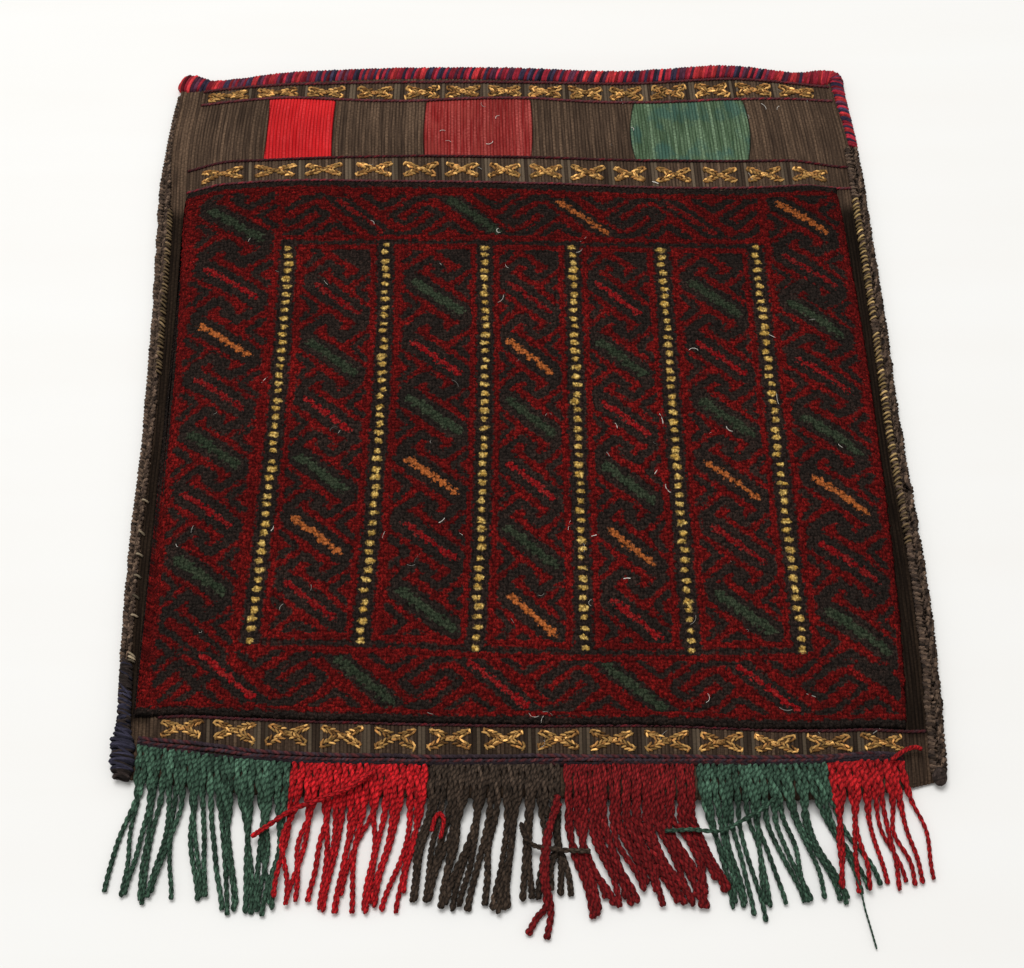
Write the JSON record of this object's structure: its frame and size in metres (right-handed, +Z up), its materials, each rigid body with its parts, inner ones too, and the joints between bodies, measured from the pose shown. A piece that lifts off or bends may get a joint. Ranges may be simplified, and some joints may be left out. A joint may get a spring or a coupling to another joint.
{
  "type": "hand-knotted bag",
  "caption": "Flat wool bag: one cloth folded into a pocket open at the mouth, knotted pile front between woven strips, braided sides, overcast mouth, cabled fringe.",
  "frame": {"origin": "middle of the underside of the back, on the surface the bag lies on", "axes": "+X to the right seen from above with the mouth up, +Y from the fold to the mouth, +Z up out of the pile"},
  "size_m": [0.5788, 0.7523, 0.0187],
  "materials": {
    "cloth_wool": "ribbed brown wool flat weave",
    "pile_wool": "clipped wool pile in crimson and near-black",
    "binding_yarn": "overcast wool yarn in crimson and navy",
    "braid_hair": "braided dark goat hair",
    "wrap_navy": "wound navy wool yarn",
    "knot_dark": "knotted dark goat hair",
    "heading_yarn": "chained maroon wool yarn",
    "fringe_green": "cabled green wool cord",
    "fringe_red": "cabled red wool cord",
    "fringe_brown": "cabled dark brown wool cord",
    "fringe_madder": "cabled madder red wool cord"
  },
  "bodies": {
    "root": {"bag_cloth": "cloth_wool", "knotted_pile": "pile_wool", "mouth_binding_front": "binding_yarn", "mouth_binding_back": "binding_yarn", "side_braid_left": "braid_hair", "side_braid_right": "braid_hair", "corner_wrap_left": "wrap_navy", "corner_wrap_right": "knot_dark", "fringe_heading": "heading_yarn", "fringe_green_left": "fringe_green", "fringe_red_left": "fringe_red", "fringe_brown": "fringe_brown", "fringe_madder": "fringe_madder", "fringe_green_right": "fringe_green", "fringe_red_right": "fringe_red"}
  },
  "joints": []
}
